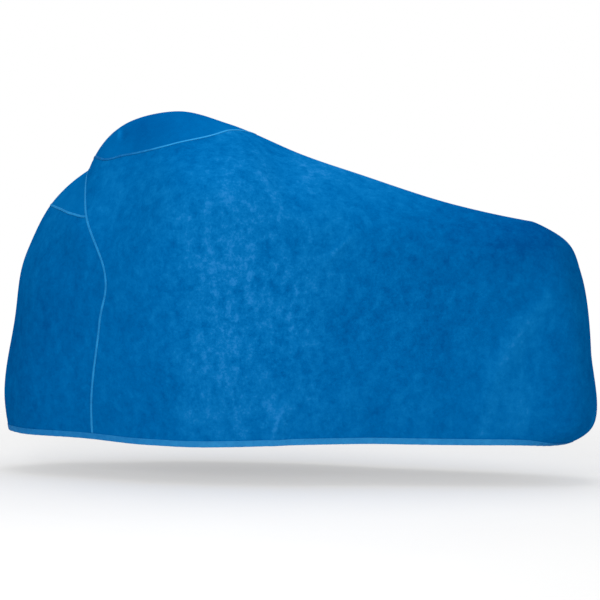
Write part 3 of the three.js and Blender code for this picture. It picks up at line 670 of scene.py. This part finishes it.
def lay_tape(name, points, outs, ring, pale):
    """A tape over a seam, a little raised along its middle."""
    across = np.linspace(-TAPE_WIDE / 2, TAPE_WIDE / 2, TAPE_STRANDS + 1)
    lift = TAPE_LIFT + TAPE_CROWN * (1 - (2 * across / TAPE_WIDE) ** 4)
    ways = sideways(points, outs, ring)
    sections = points[:, None] + ways[:, None] * across[:, None] + outs[:, None] * lift[:, None]
    return sew_strip(name, sections, across, pale, ring, TAPE_WALL, tape_weave)


def rows_of_stitches(name, rows, long, pitch, material):
    """Stitches as small oval loops of thread lying along each row of places."""
    bm = bmesh.new()
    bmesh.ops.create_icosphere(bm, subdivisions=1, radius=0.5)
    loop = np.array([v.co for v in bm.verts])
    faces = np.array([[v.index for v in f.verts] for f in bm.faces])
    bm.free()
    places = []
    for points, outs, ring in rows:
        points, outs = even_run(points, outs, pitch, ring)
        along = unit(np.roll(points, -1, axis=0) - points)
        along[-1] = along[-2]
        ways = unit(np.cross(outs, along))
        size = np.stack([along * long, ways * THREAD, outs * THREAD], axis=1)
        places.append(points[:, None] + loop @ size)
    places = np.concatenate(places)
    count = len(places)
    mesh = bpy.data.meshes.new(name)
    numbers = (faces[None] + len(loop) * np.arange(count)[:, None, None]).reshape(-1, 3)
    mesh.from_pydata(places.reshape(-1, 3).tolist(), [], numbers.tolist())
    mesh.polygons.foreach_set("use_smooth", [True] * len(mesh.polygons))
    mesh.materials.append(material)
    piece = bpy.data.objects.new(name, mesh)
    bpy.context.scene.collection.objects.link(piece)
    return piece


def twisted_thread(name, dark, light):
    """Polyester thread, a little shiny."""
    finish = Finish(name)
    twist = finish.noise(1400, 1, 0.5)
    finish.link(finish.ramp(twist, (0.3, dark), (0.7, light)), finish.shader.inputs["Base Color"])
    finish.shader.inputs["Roughness"].default_value = 0.6
    finish.shader.inputs["Specular IOR Level"].default_value = 0.1
    finish.bump(twist, 0.3, 0.0003)
    return finish.material


# Along a tape: distance between stations, how far from the front seam the nose tape ends,
# and how far above the binding the front tape starts, in levels
TAPE_STEP, NOSE_TAPE_TRIM, ABOVE_BINDING = 0.006, 0.0038, 0.0005
LEG_PLACES, NOSE_PLACES, CROWN_PLACES = 260, 200, 160
thread = twisted_thread("twisted_thread", linear(8, 118, 190), linear(48, 150, 216))
crown_thread = twisted_thread("crown_thread", linear(0, 98, 166), linear(8, 120, 190))
# Height of the binding, and a small rise in levels from which it is measured
HEM_TALL, SMALL_RISE = 0.022, 0.02


def binding_level(side, rib):
    """Level at which the binding on the lower edge ends."""
    low, high = cloth(side, rib, np.zeros_like(rib)), cloth(side, rib, np.full_like(rib, SMALL_RISE))
    return SMALL_RISE * HEM_TALL / np.linalg.norm(high - low, axis=1)


def front_seam_leg(side):
    start = binding_level(side, np.array([float(FRONT_SEAM)]))[0]
    levels = np.linspace(start + ABOVE_BINDING, 1, LEG_PLACES)
    return cloth(side, np.full_like(levels, FRONT_SEAM), levels, True)


def joined(first, second):
    """One run out of two that meet at their last places."""
    return tuple(np.concatenate([a, b[-2::-1]]) for a, b in zip(first, second))


front_run = even_run(*joined(front_seam_leg(1), front_seam_leg(-1)), TAPE_STEP)
columns = np.linspace(-1, 1, NOSE_PLACES)
nose_rib, nose_level = nose_step(columns, 1.0)
nose_side = np.where(nose_rib < 0, 1, -1)
nose_edge = cloth(nose_side, np.abs(nose_rib), nose_level, True)
nose_run = even_run(*nose_edge, TAPE_STEP, trim=NOSE_TAPE_TRIM)
crown_rib = mix(CROWN_SEAM[0, 0], CROWN_SEAM[-1, 0], np.linspace(0, 1, CROWN_PLACES))
crown_halves = [cloth(side, crown_rib, crown_level(crown_rib), True) for side in (-1, 1)]
crown_run = tuple(np.concatenate([a, b[-2:0:-1]]) for a, b in zip(*crown_halves))


def paleness(points, ring):
    """How pale a tape is at each station."""
    if ring:
        return mix(CROWN_TAPE_DULL, CROWN_TAPE_PALE, smoothstep(points[:, 0], *TAPE_PALES))
    return np.full(len(points), SEAM_TAPE_PALE)


for name, node, run, ring in (
    ("front_tape", "front_seam_tape", front_run, False),
    ("nose_tape", "nose_seam_tape", nose_run, False),
    ("crown_tape", "crown_seam_tape", crown_run, True),
):
    points, outs = run
    tape = lay_tape(name, points, outs, ring, paleness(points, ring))
    away = sideways(points, outs, ring) * TAPE_WIDE * STITCH_ROW
    on_tape = points + outs * (TAPE_LIFT + TAPE_CROWN * STITCH_HIGH)
    rows = [(on_tape - away, outs, ring), (on_tape + away, outs, ring)]
    used = crown_thread if ring else thread
    sewing = rows_of_stitches(name + "_stitches", rows, STITCH_LONG, STITCH_PITCH, used)
    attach(tape, "root")
    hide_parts(node)
    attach(sewing, "root")

# Centre seam
# The side panels are sewn to each other along the ridge behind the crown and down the tail.
# The seam lies flat, and one row of thread shows on it, half sunk into the pile.
CENTRE_PLACES = 200
ridge_rib = np.linspace(CROWN_SEAM[-1, 0], REAR, CENTRE_PLACES)
ridge = cloth(-1, ridge_rib, np.ones_like(ridge_rib), True)
tail_level = np.linspace(1, binding_level(-1, np.array([float(LAST)]))[0], CENTRE_PLACES)
tail = cloth(-1, np.full_like(tail_level, LAST), tail_level, True)
centre_run = tuple(np.concatenate([a, b[1:]]) for a, b in zip(ridge, tail))
centre_row = [(*centre_run, False)]
centre_sewing = rows_of_stitches("centre_stitches", centre_row, STITCH_LONG, STITCH_PITCH, thread)
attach(centre_sewing, "root")

# Hem binding
# A soft elastic tape of the lighter blue folded over the lower edge all the way round.
# It draws the cloth in a little, and one row of stitches holds both its legs.
HEM_WALL, HEM_CLEAR = 0.0012, 0.00035
HEM_PLACES, HEM_BEND, HEM_LEG_ROWS = 1400, 7, 6
# Where its legs straighten out of the bend, and where its stitches run, as shares of its height
HEM_LEG_FROM, HEM_STITCHED_AT = 0.15, 0.86
# Puckers of the elastic: depth in metres, and in millimetres how close they lie, wander and swell
PUCKER_DEEP, PUCKER_APART, PUCKER_WANDERS, PUCKER_SWELLS = 0.00045, 3.1, 47, 170
PUCKER_SWAY, PUCKER_MEAN = 1.7, 0.6
# The binding is paler along the middle, between these distances along the cover
HEM_PALE, HEM_PALES, HEM_DEEPENS = 0.4, (-0.35, 0.3), (1.3, 1.55)


def hem_ring():
    """Places round the lower edge: the edge itself and where the binding ends above it."""
    place = np.linspace(-rib_at[LAST], rib_at[LAST], HEM_PLACES, endpoint=False)
    rib = np.interp(np.abs(place), rib_at, np.arange(LAST + 1))
    side = np.where(place < 0, 1, -1)
    low, low_out = cloth(side, rib, np.zeros_like(rib), True)
    high, high_out = cloth(side, rib, binding_level(side, rib), True)
    return low, low_out, high, high_out, place


low, low_out, high, high_out, hem_place = hem_ring()
outer, inner = HEM_CLEAR + HEM_WALL / 2, -PANEL_THICK - HEM_CLEAR - HEM_WALL / 2
bend = np.linspace(0, math.pi, HEM_BEND)
middle, radius = (outer + inner) / 2, (outer - inner) / 2
leg = np.linspace(1, HEM_LEG_FROM, HEM_LEG_ROWS)
profile = [(outer, up) for up in leg]
profile += [(middle + radius * math.cos(a), -radius * math.sin(a) / HEM_TALL) for a in bend]
profile += [(inner, up) for up in leg[::-1]]
sway = PUCKER_SWAY * np.sin(hem_place / PUCKER_WANDERS)
swell = mix(np.sin(hem_place / PUCKER_SWELLS), 1, PUCKER_MEAN)
puckers = PUCKER_DEEP * np.sin(hem_place / PUCKER_APART + sway) * swell


def along_binding(out, up):
    """A line along the binding, so far out of the cloth and at a share of its height."""
    raised = puckers * (out > 0) * math.sin(math.pi * np.clip(up, 0, 1))
    return mix(low, high, up) + mix(low_out, high_out, up) * (out + raised)[:, None]


sections = np.stack([along_binding(out, up) for out, up in profile], axis=1)
run_over = np.concatenate([[0], np.cumsum(np.linalg.norm(np.diff(sections[0], axis=0), axis=1))])
tape_elastic = woven_tape("elastic_binding", linear(0, 102, 174), linear(46, 142, 204))
along = low[:, 0]
# Paler along the middle of the cover, deeper again towards the front and the rear
stretched = HEM_PALE * smoothstep(along, *HEM_PALES) * (1 - smoothstep(along, *HEM_DEEPENS))
hem = sew_strip("hem_elastic", sections, run_over, stretched, True, HEM_WALL, tape_elastic)
hem_line = mix(low, high, HEM_STITCHED_AT)
hem_line += mix(low_out, high_out, HEM_STITCHED_AT) * (HEM_CLEAR + HEM_WALL)
hem_row = [(hem_line, high_out, True)]
hem_sewing = rows_of_stitches("hem_stitches", hem_row, STITCH_LONG, STITCH_PITCH, thread)
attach(hem, "root")
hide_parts("hem_binding")
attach(hem_sewing, "root")

# Studio
# A plain pale floor that fades out round the part, under soft light from the camera's side.
# The camera stands on the left of the part, a little towards its tail.
FLOOR_MIDDLE, FLOOR_REACH = (0.5, 0, -UNDER_CROWN[2] / 1000), 4.2
bm = bmesh.new()
bmesh.ops.create_circle(bm, cap_ends=True, segments=96, radius=FLOOR_REACH)
bmesh.ops.translate(bm, verts=bm.verts, vec=FLOOR_MIDDLE)
mesh = bpy.data.meshes.new("floor")
bm.to_mesh(mesh)
bm.free()
floor = bpy.data.objects.new("floor", mesh)
bpy.context.scene.collection.objects.link(floor)


def grey(share):
    return (share, share, share, 1.0)


paper = Finish("floor_paper")
tint = paper.ramp(paper.noise(3, 2, 0.5), (0.0, grey(0.93)), (1.0, grey(0.96)))
paper.link(tint, paper.shader.inputs["Base Color"])
paper.shader.inputs["Roughness"].default_value = 0.9
from_middle = paper.nodes.new("ShaderNodeVectorMath")
from_middle.operation = "DISTANCE"
paper.link(paper.place, from_middle.inputs[0])
from_middle.inputs[1].default_value = FLOOR_MIDDLE
distance = paper.math("MULTIPLY", from_middle.outputs["Value"], 0.25)
opacity = paper.ramp(distance, (0.35, grey(0.55)), (0.95, grey(0.0)))
paper.link(opacity, paper.shader.inputs["Alpha"])
mesh.materials.append(paper.material)


def softbox(name, place, aim, size, watts):
    light = bpy.data.lights.new(name, "AREA")
    light.shape, light.size, light.energy = "DISK", size, watts
    lamp = bpy.data.objects.new(name, light)
    lamp.location = place
    lamp.rotation_euler = (Vector(aim) - Vector(place)).to_track_quat("-Z", "Y").to_euler()
    bpy.context.scene.collection.objects.link(lamp)


softbox("key", (-0.1, -4.4, 0.3), (0.3, 0, -0.75), 1.8, 80)
softbox("top", (0.5, 0.4, 3.2), (0.5, 0, -0.7), 4.0, 90)
softbox("rear", (4.6, -2.2, 0.2), (1.5, 0, -0.8), 1.8, 13)
world = bpy.data.worlds.new("studio")
bpy.context.scene.world = world
world.use_nodes = True
nodes, links = world.node_tree.nodes, world.node_tree.links
fill, seen = nodes["Background"], nodes.new("ShaderNodeBackground")
fill.inputs["Color"].default_value, fill.inputs["Strength"].default_value = (1, 1, 1, 1), 0.5
seen.inputs["Color"].default_value, seen.inputs["Strength"].default_value = (1, 1, 1, 1), 1.0
ray, either = nodes.new("ShaderNodeLightPath"), nodes.new("ShaderNodeMixShader")
links.new(ray.outputs["Is Camera Ray"], either.inputs["Fac"])
links.new(fill.outputs["Background"], either.inputs[1])
links.new(seen.outputs["Background"], either.inputs[2])
links.new(either.outputs["Shader"], nodes["World Output"].inputs["Surface"])
bpy.context.scene.view_settings.view_transform = "Standard"

lens = bpy.data.cameras.new("camera")
lens.lens, lens.sensor_width = 122.4, 36
camera = bpy.data.objects.new("camera", lens)
aim, turn, lift, stand_off = Vector((0.5, 0, -0.739)), math.radians(10), math.radians(3), 8.0
back = Vector((math.sin(turn) * math.cos(lift), -math.cos(turn) * math.cos(lift), math.sin(lift)))
camera.location = aim + stand_off * back
camera.rotation_euler = back.to_track_quat("Z", "Y").to_euler()
bpy.context.scene.collection.objects.link(camera)
bpy.context.scene.camera = camera
